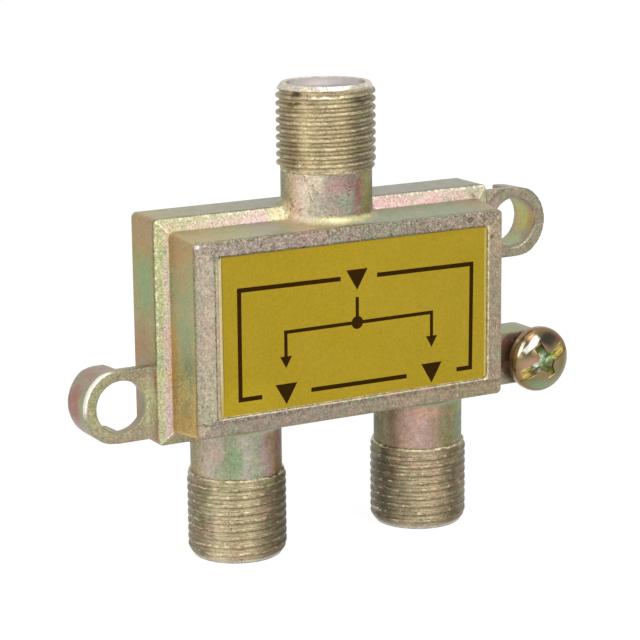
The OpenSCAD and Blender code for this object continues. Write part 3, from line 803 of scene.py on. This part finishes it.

# Soft patches over these, with painted highlights, glints and shade among them: point, reach,
# display colour and share
THREAD_PATCHES_AND_HIGHLIGHTS = [
    ((-4.26, -6.5, 21.3), (1.1, 1.0, 0.35), (84, 58, 36), 0.9),
    ((-4.3, -6.4, 20.4), (1.1, 1.0, 0.3), (110, 92, 50), 0.8),
    # Painted highlights on the front of the input's rim, with a brown band between them
    ((-1.6, -8.8, 21.95), (3.0, 1.6, 0.36), (255, 252, 240), 0.9),
    ((-2, -8.9, 21.46), (4.0, 1.8, 0.22), (146, 124, 94), 0.45),
    ((-2.6, -8.9, 21.1), (3.2, 1.8, 0.24), (255, 246, 220), 0.85),
    ((1.2, -9.2, 20.6), (1.0, 1.0, 0.4), (96, 70, 56), 0.7),
    ((3.2, -8.2, 17.8), (1.0, 1.3, 2.6), (108, 90, 68), 0.5),
    ((-4.4, -6.2, 16), (0.9, 1.2, 2), (124, 102, 66), 0.3),
]
CAST_PATCHES_LIGHT_AND_SHADE = [
    # Box and ports
    ((-18.1, -2.6, 4.2), (1, 2, 3.6), (136, 164, 116), 0.75),
    ((-18.1, -2.4, 9.6), (1, 3, 2), (172, 142, 98), 0.7),
    ((-18.1, -1.5, -1.5), (1, 2, 3), (170, 130, 90), 0.7),
    ((-16.9, -8.4, -1), (1, 1.7, 6), (152, 168, 130), 0.7),
    ((-16.9, -5.9, -3), (1, 0.9, 7), (206, 160, 96), 0.7),
    ((-16.9, -7, 8), (1, 1.6, 1.8), (188, 150, 104), 0.6),
    ((-0.4, -9.2, 11.2), (1.3, 1.6, 1.8), (150, 160, 138), 0.7),
    ((-1.2, -9.1, 12.8), (2.3, 1.2, 1.1), (180, 132, 138), 0.42),
    ((1.1, -9, 12.4), (0.7, 1, 1.5), (146, 92, 90), 0.7),
    ((-3.1, -8.2, 13), (1.0, 2, 1.4), (226, 214, 180), 0.6),
    ((0, -7.5, 9.7), (5.4, 4.8, 0.5), (222, 216, 162), 0.8),
    ((-12, -8.8, -12.2), (1.2, 1.6, 2.1), (132, 156, 116), 0.75),
    ((-13.7, -7.4, -11.4), (1.0, 1.6, 1.6), (186, 156, 140), 0.35),
    ((-7.4, -8, -11), (0.8, 2.0, 2.2), (160, 108, 122), 0.6),
    ((8.4, -9, -10.2), (2.2, 2.4, 0.9), (204, 156, 128), 0.5),
    ((12.4, -8.2, -10.4), (1.6, 2.4, 0.9), (130, 146, 94), 0.7),
    # Painted glint on the box's top-left corner
    ((-16.45, -10, 9.05), (0.6, 0.6, 0.42), (255, 252, 244), 0.95),
    ((-5.4, -5.1, 10.1), (1.6, 1.2, 1.0), (228, 226, 178), 0.8),
    # Ears
    ((-22.5, -3.9, -6.6), (3.4, 0.5, 4), (168, 170, 124), 0.9),
    ((-19.2, -4.2, -6.6), (1.9, 0.8, 4), (180, 178, 134), 0.9),
    # Painted light on the fillet where the left ear's face curves into the bevel
    ((-18.5, -4.4, -6.6), (0.6, 0.5, 3.6), (200, 196, 152), 0.5),
    ((-17.9, -5, -6.6), (0.6, 0.5, 3.6), (192, 190, 148), 0.6),
    ((-25.1, -1.4, -6.2), (1.2, 1.8, 3.6), (162, 108, 98), 0.95),
    ((-25.1, -3.3, -6.5), (1.2, 0.7, 3.4), (148, 160, 112), 0.8),
    ((-23.5, -1.8, -3.4), (3, 2, 1), (166, 130, 116), 0.8),
    ((-19, -1.8, -3.1), (2, 2, 0.8), (160, 150, 130), 0.8),
    ((22, -3.9, 6.4), (4.8, 0.5, 4.8), (126, 121, 104), 0.95),
    ((19.6, -3.9, 8.2), (1.6, 0.8, 1.4), (176, 148, 142), 0.8),
    ((24.3, -1.6, 6.6), (1, 2.4, 2.6), (196, 194, 104), 0.9),
    ((24.4, -3.2, 6.4), (0.9, 0.6, 2.0), (190, 146, 90), 0.6),
    ((22.6, -1.6, 4.3), (2, 2.4, 1), (170, 190, 134), 0.9),
    # Lug, with a painted shadow of the screw's head on its face
    ((22.4, -3.8, -7.6), (3.6, 1.0, 3), (106, 76, 48), 0.9),
    ((21.6, -3.8, -6), (1.2, 1.0, 1), (126, 72, 66), 0.7),
    ((21, -2, -4.9), (4, 3, 0.7), (138, 152, 102), 0.85),
]


def paint_faces(s, drift):
    """Tones by the face of the box that a point lies on."""
    wide = s.absolute(s.x)
    high = s.absolute(s.z)
    loose_x = s.plus(s.x, drift)
    loose_z = s.plus(s.z, drift)
    mitre = s.minus(s.minus(high, wide), TIER_HALF_H - TIER_HALF_W)
    on_top = s.span(mitre, -0.08, 0.08)
    to_bevel = s.span(s.y, TIER_FRONT + 0.05, TIER_FRONT - 0.05)
    inward = s.span(s.plus(s.y, s.times(drift, 0.08)), -4.98, -5.18)
    to_box = s.span(s.y, FOOT_Y + 0.04, FOOT_Y - 0.06)
    to_rim = s.span(s.y, FACE_Y + 0.2, FACE_Y + 0.04)

    def tones(face, place):
        return s.along(place, FACE_TONES[face])

    sides = []
    for side, place in (("side", loose_z), ("top", loose_x)):
        bevel = s.mix(inward, tones("outer_" + side, place), tones("inner_" + side, place))
        colour = s.mix(to_bevel, tones("tier_" + side, place), bevel)
        sides.append(s.mix(to_box, colour, tones("box_" + side, place)))
    s.colour = s.mix(on_top, *sides)
    # Painted highlights on the ridge between two bevels and on the burr along the tier's front edge
    on_bevel = s.times(to_bevel, s.span(s.y, FOOT_Y - 0.04, FOOT_Y + 0.06))
    s.paint((242, 232, 206), on_bevel, s.span(s.absolute(mitre), 0.2, 0.06, 0.0, 0.6))
    ragged = s.noise(2.6, 2.0, 0.6)
    off_ear = s.minus(1.0, s.times(s.span(s.x, 0, -1), s.span(s.z, -2.6, -3.2)))
    s.paint((246, 240, 216), on_bevel, s.span(s.y, TIER_FRONT - 0.2, TIER_FRONT - 0.1),
            s.span(ragged, 0.5, 0.6, 0.0, 0.8), off_ear)
    # Painted shade in a ragged line on the tier's side just behind its front edge
    s.paint((96, 88, 68), s.span(s.y, TIER_FRONT + 0.45, TIER_FRONT + 0.22),
            s.span(to_bevel, 0.5, 0.0, 0.0, 0.6), s.span(ragged, 0.6, 0.45, 0.4, 1.0), off_ear)
    # Rim round the label, with a painted grey highlight on its rounded edge at the left
    rim_side = s.mix(s.span(s.x, -0.5, 0.5), tones("rim_left", loose_z),
                     tones("rim_right", loose_z))
    rim_top = s.mix(s.span(s.z, -0.5, 0.5), tones("rim_low", loose_x), tones("rim_top", loose_x))
    s.paint(s.mix(on_top, rim_side, rim_top), to_rim)
    # Painted grey highlight on the rim's rounded left edge
    s.paint((160, 156, 146), s.span(s.plus(s.x, s.times(drift, 0.1)), -15.85, -16.15),
            s.span(s.y, FACE_Y + 0.3, FACE_Y + 0.1, 0.0, 0.4))
    # A dark line runs just behind the box's front edge
    outside = s.larger(s.span(wide, BOX_HALF_W - 0.7, BOX_HALF_W - 0.5),
                       s.span(high, BOX_HALF_H - 0.7, BOX_HALF_H - 0.5))
    s.paint((104, 90, 68), s.span(s.y, FACE_Y + 0.7, FACE_Y + 0.4, 0.0, 0.7),
            s.span(s.y, FACE_Y + 0.14, FACE_Y + 0.3), s.span(ragged, 0.6, 0.44, 0.4, 1.0), outside)
    # Recess: pale walls, and a lip with painted shade at the left and above and painted light
    # elsewhere
    beyond = [s.minus(s.absolute(s.minus(place, middle)), half)
              for place, middle, half in zip((s.x, s.z), RECESS_MIDDLE, RECESS_HALF)]
    lip = s.larger(*beyond)
    front = s.span(s.y, FACE_Y + 0.6, FACE_Y + 0.4)
    s.paint((188, 176, 146), s.span(lip, 0.03, -0.01), front)
    upper_left = s.span(s.minus(s.times(s.z, 1.92), s.x), -0.5, 0.5)
    from_lip = s.minus(lip, s.span(upper_left, 0.0, 1.0, 0.01, 0.05))
    s.paint(s.mix(upper_left, tone(240, 230, 196), tone(96, 88, 70)),
            s.span(s.absolute(from_lip), 0.13, 0.05), front, s.span(ragged, 0.4, 0.6, 0.3, 0.8))
    # Ragged dark specks along the rim's upper edge and under the recess, and pale ones above
    fine = s.noise(4.6, 2.0, 0.65)
    upper = s.span(s.z, FACE_HALF_H - 0.32, FACE_HALF_H - 0.12)
    under = s.times(s.span(s.z, RECESS_LOW[1] - 0.12, RECESS_LOW[1] - 0.2),
                    s.span(s.z, RECESS_LOW[1] - 0.55, RECESS_LOW[1] - 0.4))
    s.paint((98, 86, 70), s.larger(upper, under), to_rim, s.span(fine, 0.56, 0.46, 0.0, 0.7))
    s.paint((214, 206, 186), upper, to_rim, s.span(fine, 0.56, 0.62, 0.0, 0.35))
    # Painted shade inside the blow holes in the rim
    s.paint((84, 72, 60), s.span(wide, 16.25, 16.15), s.span(high, 8.9, 8.8),
            s.span(lip, 0.2, 0.3), s.span(s.y, FACE_Y + 0.02, FACE_Y + 0.13, 0.0, 0.7),
            s.span(s.y, FACE_Y + 0.9, FACE_Y + 0.8))


def port_places(s, name, half):
    """Radius about a port's axis, place along it, and place across it.

    The last goes from -1 to 1 over the width 2 * half, seen from the front left.
    """
    x, up = PORTS[name]
    offset = s.offset((x, PORT_Y, 0))
    radius = s.length(s.vector("MULTIPLY", offset, (1, 1, 0)))
    return radius, s.times(s.z, up), s.dot(offset, [v / half for v in ACROSS])


def paint_ear_edge(s, side):
    """Front edge line of an ear: a painted highlight on the left ear, darker on the right."""
    x, z, _ = EARS[side]
    offset = s.offset((x, 0, z))
    radius = s.length(s.vector("MULTIPLY", offset, (1, 0, 1)))
    line = s.times(s.span(s.y, -EAR_T + 0.55, -EAR_T + 0.3),
                   s.span(radius, EAR_R - 0.3, EAR_R - 0.15),
                   s.span(radius, EAR_R + 0.2, EAR_R + 0.1))
    if side == "left":
        upper = s.dot(offset, (-0.8, 0, 0.6))
        s.paint((250, 246, 232), line, s.span(upper, 2.2, 3.2, 0.0, 0.9))
        return
    s.paint((104, 98, 82), line, 0.5)
    # Painted light on the lower edge of the right ear's hole
    lower = s.dot(offset, (0.55, 0, -0.84))
    s.paint((236, 230, 190), s.span(lower, 1.7, 2.4, 0.0, 0.35),
            s.span(radius, EAR_HOLE_R + 0.24, EAR_HOLE_R + 0.12),
            s.span(s.y, -EAR_T + 0.35, -EAR_T + 0.15))


def casting_material():
    """Die-cast zinc under a yellow chromate that drifts between green, gold and pink."""
    s = Shader("chromated_casting")
    drift = s.times(s.minus(s.noise(0.35), 0.5), 7.0)
    paint_faces(s, drift)
    on_ports = 0.0
    # Painted light and shade round each port's neck, with its tones, by the place across it
    for name, tones in NECK_TONES_LIGHT_AND_SHADE.items():
        radius, along, u = port_places(s, name, NECK_R)
        near = s.times(s.span(radius, 5.1, 4.6), s.span(along, 9.3, 10.0))
        s.paint(s.along(s.plus(u, s.times(drift, 0.06)), tones), near)
        on_ports = s.plus(near, on_ports)
    ears = s.span(s.absolute(s.x), TIER_HALF_W + 0.1, TIER_HALF_W + 0.5)
    s.paint((160, 150, 126), ears)
    s.tint(s.warped(0.5, 1.2), CAST_PATCHES_LIGHT_AND_SHADE)
    cloud = s.noise(0.55, 3.0, 0.6, s.warped(0.9, 1.2))
    s.paint((198, 162, 146), s.span(cloud, 0.52, 0.7, 0.0, 0.3))
    s.paint((138, 160, 126), s.span(cloud, 0.48, 0.3, 0.0, 0.3))
    for side in EARS:
        paint_ear_edge(s, side)
    # As-cast grain is coarse on the front, the bevel, the ears and low on the left side
    front = s.span(s.y, FACE_Y + 0.6, FACE_Y + 0.4)
    bevel = s.times(s.span(s.y, FOOT_Y - 0.1, FOOT_Y), s.span(s.y, TIER_FRONT + 0.15, TIER_FRONT))
    ear_fronts = s.times(s.span(s.y, -EAR_T + 0.15, -EAR_T), ears)
    low_left = s.times(s.span(s.x, -16.2, -16.4), s.span(s.z, -1, -5),
                       s.span(s.y, FOOT_Y, FOOT_Y - 0.1))
    coarse = s.span(s.larger(front, bevel, ear_fronts, low_left), 0.0, 1.0, 0.5, 1.0)
    grain = s.noise(5.5, 2.0, 0.6)
    mottle = s.noise(2.2, 2.0, 0.6)
    streak = s.noise(1.0, 2.0, 0.6, s.stretched((5, 5, 0.7)))
    upper_rim = s.times(s.span(s.z, 7.5, 7.9), s.span(s.y, FACE_Y + 0.3, FACE_Y + 0.1))
    amount = s.times(coarse, s.span(upper_rim, 0.0, 1.0, 1.0, 1.7))
    s.grained(amount, (grain, 1.5), (mottle, 0.5), (streak, 0.45))
    # Fine flecks of green and pink, scaled so that the mean stays
    hue = s.noise(4.2, 2.0, 0.6, s.shifted(9, 0, 0))
    flecks = s.ramp(hue, (0.38, 184, 206, 176), (0.5, 200, 200, 200), (0.62, 222, 190, 192))
    flecked = s.vector("MULTIPLY", s.vector("MULTIPLY", s.colour, flecks), (1.72,) * 3)
    s.paint(flecked, coarse, 0.28)
    worn = s.span(s.noise(0.8), 0.4, 0.62, 0.2, 1.0)
    s.paint((96, 84, 68), s.dots(4.2, 0.3, 0.4, 0.6), s.times(coarse, worn))
    s.grained(on_ports, (s.noise(2.6, 2.0, 0.6, s.warped(2.0, 0.5)), 0.8))
    speck = s.noise(4.4, 2.0, 0.6, s.shifted(0, 0, 7))
    s.paint((118, 76, 70), s.span(speck, 0.54, 0.63, 0.0, 0.75), s.times(on_ports, worn),
            s.span(s.z, -1, 1, 0.4, 1.0))
    s.paint((240, 234, 212), s.dots(5.1, 0.08, 0.42, 0.5), coarse)
    rough = s.span(s.noise(1.1, 4.0, 0.6), 0.3, 0.7, 0.36, 0.5)
    normal = s.bump(s.noise(0.9, 3.0, 0.55), 0.1, 0.5, s.bump(grain, 0.05, coarse))
    return s.principled(Metallic=0.65, Roughness=rough, Normal=normal)


def thread_material(name, shift, depth):
    """Gold chromate threads with painted shade on the flanks, and wear and painted highlights on
    the crests.
    """
    s = Shader("chromated_thread_" + name)
    radius, along, u = port_places(s, name, CREST_R)
    place = s.shifted(shift, 0, 0)
    blotch = s.noise(0.8, 3.0, 0.6, place)
    u = s.plus(u, s.times(s.minus(blotch, 0.5), 0.25))
    # Tones with painted light and shade, by the place across the port
    s.colour = s.along(u, THREAD_TONES_LIGHT_AND_SHADE[name])
    roots, flanks, crests = THREAD_WEAR_LIGHT_AND_SHADE[name]
    s.paint((190, 150, 130), s.span(s.noise(0.5, 3.0, 0.6, place), 0.54, 0.68, 0.0, 0.35))
    s.paint((150, 156, 104), s.span(s.noise(0.45, 3.0, 0.6, place), 0.46, 0.34, 0.0, 0.35))
    grain = s.noise(4.6, 3.0, 0.7, s.vector("MULTIPLY", place, (1, 1, 1.5)))
    # Torn chips leave short lines round the port
    torn = s.noise(1.0, 3.0, 0.7, s.vector("MULTIPLY", place, (1.6, 1.6, 6.5)))
    rise = s.span(s.plus(radius, s.times(s.minus(torn, 0.5), 0.16)), CREST_R - depth, CREST_R,
                  kind="LINEAR")
    helix = s.times(s.span(along, 14.2, 14.5), s.span(along, 21.6, 21.3))
    # Painted light in the roots
    s.paint(s.vector("MULTIPLY", s.colour, (1.3, 1.29, 1.25)),
            s.span(rise, 0.35, 0.05, 0.0, roots), helix)
    # Painted shade on the flanks
    s.paint((112, 92, 62), s.span(rise, 0.2, 0.45), s.span(rise, 0.85, 0.6, 0.0, flanks), helix)
    output = PORTS[name][1] < 0
    # Pale crests: wear with a painted highlight
    worn = s.span(grain, 0.36, 0.56, 0.2 * crests, crests)
    if output:
        worn = s.times(worn, s.span(u, 0.2, 0.8, 1.0, 0.3))
    s.paint((246, 232, 198), s.span(rise, 0.9, 1.0), worn)
    # The mouth's rim is pale, bare metal with a painted highlight, and the shoulder is bare and
    # pale
    rim = s.times(s.span(along, 21.45, 21.75), s.span(blotch, 0.4, 0.62, 0.95, 0.55))
    if output:
        rim = s.times(rim, s.span(along, 21.7, 21.9, 0.2, 0.7))
    s.paint((226, 218, 202), rim)
    if output:
        s.paint((104, 104, 90), s.span(along, 22.0, 22.06, 0.0, 0.75))
    s.paint((226, 216, 180), s.span(along, 14.2, 14.0, 0.0, 0.75), s.span(torn, 0.44, 0.56),
            s.span(radius, 4.3, 4.4))
    s.tint(s.warped(1.2, 0.8), THREAD_PATCHES_AND_HIGHLIGHTS)
    s.grained(1.0, (grain, 1.5), (blotch, 0.6), (torn, 1.5))
    patchy = s.span(s.noise(0.6, 2.0, 0.5, place), 0.42, 0.6, 0.15, 1.0)
    s.paint((78, 62, 44), s.dots(4.4, 0.35, 0.45, 0.7, place), patchy)
    s.paint((240, 230, 204), s.dots(5.0, 0.03, 0.4, 0.6, place))
    # The bore's wall is grey, with brown painted shade towards the left and right
    bore = s.mix(s.span(s.absolute(u), 0.62, 0.76), tone(190, 182, 178), tone(136, 116, 84))
    s.paint(bore, s.span(radius, 3.8, 3.7))
    return s.principled(Metallic=0.7 if output else 0.5, Normal=s.bump(grain, 0.06),
                        Roughness=s.span(grain, 0.3, 0.7, 0.3, 0.46))


SCREW_PATCHES = [
    ((22.6, -5.5, -8.0), (1.7, 2, 1.6), (186, 142, 116), 0.95),
    ((23.9, -5.5, -10.3), (2.2, 2, 1.3), (124, 142, 104), 0.95),
    ((26.8, -5.5, -8.4), (1.9, 2, 2.6), (106, 92, 8), 1.0),
    ((24.7, -6, -5.45), (1.9, 2, 1.2), (46, 44, 30), 0.97),
    ((26.2, -6, -5.7), (1.0, 2, 0.8), (118, 58, 38), 0.8),
]
# Painted highlights in pale bands on the head: middle, half width and length, and angle in degrees
SCREW_HIGHLIGHT_BANDS = [((21.48, -6.3), 0.23, 0.95, 57), ((22.76, -5.86), 0.25, 1.05, 40)]


def screw_material():
    """Bright yellow zinc that shifts between olive, green, teal and pink."""
    s = Shader("chromated_steel")
    loose = s.warped(0.9, 0.8)
    s.colour = s.ramp(s.noise(0.7, 2.0, 0.5, loose), (0.36, 116, 118, 80),
                      (0.5, 132, 118, 76), (0.66, 144, 112, 84))
    s.tint(loose, SCREW_PATCHES)
    s.tint(s.place, [((22.2, -6, -6.1), (1.7, 2, 1.5), (88, 74, 50), 0.85)])
    # Painted highlights in pale bands on the dome
    for (x, z), half_w, half_l, degrees in SCREW_HIGHLIGHT_BANDS:
        c, d = math.cos(math.radians(degrees)), math.sin(math.radians(degrees))
        from_band = s.offset((x, 0, z))
        over = s.absolute(s.dot(from_band, (d / half_w, 0, -c / half_w)))
        near = s.larger(over, s.absolute(s.dot(from_band, (c / half_l, 0, d / half_l))))
        s.paint((226, 222, 206), s.span(near, 1.2, 0.85))
    offset = s.offset((SCREW_X, HEAD_TOP, SCREW_Z))
    flat = s.vector("MULTIPLY", offset, (1, 0, 1))
    radius = s.length(flat)
    s.paint((134, 104, 66), s.span(radius, 2.85, 3.1, 0.0, 0.8))
    # The cut is what lies well under the dome, with streaks along the slot on its floor
    dome = s.vector("SUBTRACT", offset, (0, SCREW_SPHERE, 0))
    deep = s.minus(SCREW_SPHERE, s.length(dome))
    cut = s.times(s.span(deep, 0.2, 0.4), s.span(radius, 3.2, 3.1),
                  s.span(s.y, HEAD_BASE - 0.3, HEAD_BASE - 0.4))
    c, d = math.cos(SLOT_ANGLE), math.sin(SLOT_ANGLE)
    lines = s.node("CombineXYZ", {"X": s.dot(flat, (0.5 * c, 0, 0.5 * d)),
                                  "Z": s.dot(flat, (-3 * d, 0, 3 * c))})
    streak = s.noise(1.0, 3.0, 0.7, lines.outputs[0])
    uneven = s.plus(radius, s.times(s.minus(s.noise(2.4), 0.5), 1.6))
    s.paint(s.ramp(s.span(uneven, 0.3, 3.1, kind="LINEAR"), (0.0, 206, 222, 196),
                   (0.22, 140, 164, 112), (0.42, 140, 146, 76), (0.65, 190, 178, 86),
                   (1.0, 190, 128, 54)), cut)
    s.paint((98, 72, 28), cut, s.span(streak, 0.52, 0.6, 0.0, 0.85))
    s.paint((240, 228, 160), cut, s.span(streak, 0.45, 0.38, 0.0, 0.85))
    # Painted glint of light deep in the cross recess
    glint = s.vector("DISTANCE", s.place, (23.75, HEAD_TOP + 1.4, -8.05), out="Value")
    s.paint((250, 255, 244), s.span(glint, 0.55, 0.3), cut)
    grain = s.noise(2.2, 3.0, 0.6)
    return s.principled(Metallic=s.span(cut, 0.0, 1.0, 0.9, 0.35, "LINEAR"),
                        Roughness=s.span(grain, 0.3, 0.7, 0.14, 0.22),
                        Normal=s.bump(grain, 0.015), Coat_Weight=0.35, Coat_Roughness=0.08)


def label_material():
    """Gold foil with a fine even grain."""
    s = Shader("label_foil")
    s.colour = s.ramp(s.span(s.x, -15, 15, kind="LINEAR"), (0.0, 168, 143, 32),
                      (0.5, 171, 146, 32), (1.0, 166, 142, 34))
    cloud = s.noise(0.25, 3.0, 0.6, s.warped(0.3, 3.0))
    s.paint((176, 150, 46), s.span(cloud, 0.35, 0.65, 0.0, 0.3))
    # Bare margins at the left and right, with a dark line beside the left one
    s.paint((134, 104, 46), s.span(s.x, -13.72, -13.8, 0.0, 0.75))
    s.paint((206, 188, 148), s.span(s.x, -13.83, -13.9))
    # Painted light on the foil's left side face
    s.paint((255, 246, 220), s.span(s.x, -14.07, -14.09))
    s.paint((204, 184, 110), s.span(s.x, 14.5, 14.62, 0.0, 0.8))
    s.tint(s.place, [((-11.5, RECESS_FLOOR, -7), (5, 1, 4), (178, 154, 38), 0.8)])
    speck = s.noise(5.0, 3.0, 0.75)
    s.shade(s.span(speck, 0.3, 0.7, 0.86, 1.14, "LINEAR"))
    return s.principled(Metallic=0.55, Roughness=s.span(speck, 0.3, 0.7, 0.4, 0.52),
                        Normal=s.bump(speck, 0.012), Specular_IOR_Level=0.15)


def ink_material():
    s = Shader("label_print")
    speck = s.noise(4.0, 3.0, 0.7)
    s.colour = s.ramp(speck, (0.3, 42, 25, 0), (0.7, 58, 38, 4))
    return s.principled(Roughness=s.span(speck, 0.3, 0.7, 0.5, 0.6), Specular_IOR_Level=0.03)


def plain_material(name, dark, light, scale, stretch=(1, 1, 1), bump=0.02, rough=(0.35, 0.5),
                   **values):
    """Grained mix of two display colours."""
    s = Shader(name)
    grain = s.noise(scale, 4.0, 0.65, s.stretched(stretch))
    cloud = s.noise(scale * 0.12, 2.0, 0.5, s.warped(0.4, 2.0))
    blend = s.plus(s.times(grain, 0.6), s.times(cloud, 0.4))
    s.colour = s.ramp(blend, (0.35, *dark), (0.65, *light))
    return s.principled(Roughness=s.span(grain, 0.3, 0.7, *rough), Normal=s.bump(grain, bump),
                        **values)


# Looks of the cover and of the pieces in the closed housing, with their nodes
PLAIN_LOOKS = [
    (("tinned_steel", (150, 152, 154), (196, 198, 198), 1.6, (0.25, 1, 4), 0.02, (0.26, 0.4)),
     {"Metallic": 0.9}, ["back_cover"]),
    (("white_insulator", (206, 196, 198), (226, 218, 218), 2.0),
     {}, ["in_insulator", "out_left_insulator", "out_right_insulator"]),
    (("contact_bronze", (170, 128, 70), (206, 166, 100), 2.5, (1, 1, 0.3), 0.01, (0.22, 0.36)),
     {"Metallic": 0.95}, ["in_contact", "out_left_contact", "out_right_contact"]),
    (("board_laminate", (112, 92, 40), (142, 120, 62), 3.0, (1, 1, 0.4)),
     {}, ["circuit_board"]),
    (("ferrite", (46, 44, 44), (70, 66, 66), 4.0),
     {"bump": 0.05, "rough": (0.5, 0.7)}, ["matching_core", "splitting_core"]),
    (("enamelled_wire", (150, 64, 30), (190, 96, 50), 3.0),
     {"bump": 0.0, "rough": (0.2, 0.3), "Metallic": 0.6},
     ["matching_winding", "splitting_winding"]),
    (("resistor_coating", (196, 168, 120), (216, 190, 146), 2.0),
     {"bump": 0.01}, ["isolation_resistor"]),
    (("capacitor_coating", (176, 104, 44), (204, 130, 66), 2.0),
     {}, ["input_capacitor", "balance_capacitor"]),
    (("solder", (160, 162, 166), (206, 208, 210), 2.0),
     {"rough": (0.15, 0.3), "Metallic": 0.95}, ["solder_joints"]),
]


def repaint(material, names):
    """Gives the CAD nodes of these names a material."""
    for name in names:
        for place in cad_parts[name].material_slots:
            place.material = material


# Floor, lamps and world

FLOOR_Z = -22.12
FLOOR_HALF_M = 3.0
FLOOR_GLOW = 1.14
FLOOR_WHITE = 0.8
ROOM_LIGHT = 0.5


def seen_directly(s):
    """1 for rays from the camera and for those by way of gloss or glass."""
    path = s.node("LightPath").outputs
    total = path["Is Camera Ray"]
    for name in ("Is Glossy Ray", "Is Transmission Ray"):
        total = s.math("ADD", total, path[name], clamp=True)
    return total


def make_floor():
    """Pale floor that keeps the object's shadow and is white where it is seen."""
    h = FLOOR_HALF_M
    mesh = bpy.data.meshes.new("floor")
    corners = [(x, y, FLOOR_Z * MM) for x, y in ((-h, -h), (h, -h), (h, h), (-h, h))]
    mesh.from_pydata(corners, [], [(0, 1, 2, 3)])
    floor = scene_object("floor", mesh)
    s = Shader("floor")
    pale = s.mix(s.span(s.noise(0.02), 0.3, 0.7, kind="LINEAR"), (0.88, 0.88, 0.88, 1),
                 (0.91, 0.91, 0.91, 1))
    matte = s.shader("BsdfDiffuse", [pale])
    glow = s.shader("Emission", {"Strength": FLOOR_GLOW})
    lit = s.shader("MixShader", (s.times(seen_directly(s), FLOOR_WHITE), matte, glow))
    # From below the floor isn't there, so that the under side can be looked at
    below = s.node("NewGeometry").outputs["Backfacing"]
    s.end(s.shader("MixShader", (below, lit, s.shader("BsdfTransparent"))))
    mesh.materials.append(s.material)


def softbox(name, azimuth, elevation, width, height, level, distance=0.7):
    """Rectangular lamp that faces the object; azimuth 0 is in front, level its radiance."""
    data = bpy.data.lights.new(name, "AREA")
    data.shape = "RECTANGLE"
    data.size = width
    data.size_y = height
    data.energy = 4 * width * height * level
    lamp = scene_object(name, data)
    a, e = math.radians(azimuth), math.radians(elevation)
    back = Vector((math.sin(a) * math.cos(e), -math.cos(a) * math.cos(e), math.sin(e)))
    lamp.location = back * distance
    lamp.rotation_mode = "QUATERNION"
    lamp.rotation_quaternion = (-back).to_track_quat("-Z", "Y")


def make_world():
    """Even light all round, and white where the world is seen."""
    world = bpy.data.worlds.new("studio")
    bpy.context.scene.world = world
    world.use_nodes = True
    n = Nodes(world.node_tree, "World")
    room, white = [n.shader("Background", ((1, 1, 1, 1), level)) for level in (ROOM_LIGHT, 1.0)]
    n.end(n.shader("MixShader", (seen_directly(n), room, white)))


# Everything is made

CAST_STEP, CAST_TRIANGLES, SCREW_STEP = ((0.17, 170000, 0.07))
SCREW_TRIANGLES = 60000

housing = field_piece("casting", housing_field, (-25.6, -10.5, -21.6), (27.2, 0.4, 21.6),
                      CAST_STEP, CAST_TRIANGLES, casting_material())
for name, low, plain, depth, crest_at, seed, shift in THREADS:
    thread_piece(name, low, plain, depth, crest_at, seed, thread_material(name, shift, depth))
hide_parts("housing")

screw = field_piece("screw", screw_field, (20.6, -7.1, -11.2), (27.8, 0.2, -4.0),
                    SCREW_STEP, SCREW_TRIANGLES, screw_material())
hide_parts("ground_screw")

ink_piece(ink_material())

repaint(label_material(), ["label"])
for look, settings, nodes in PLAIN_LOOKS:
    repaint(plain_material(*look, **settings), nodes)

make_floor()
softbox("softbox_right", 7.4, 29, 0.22, 0.55, 3.0)
softbox("softbox_left", -32, 21, 0.14, 0.5, 3.0)
softbox("softbox_top", -20, 80, 0.5, 0.5, 0.6)
make_world()
bpy.context.scene.view_settings.view_transform = "Standard"
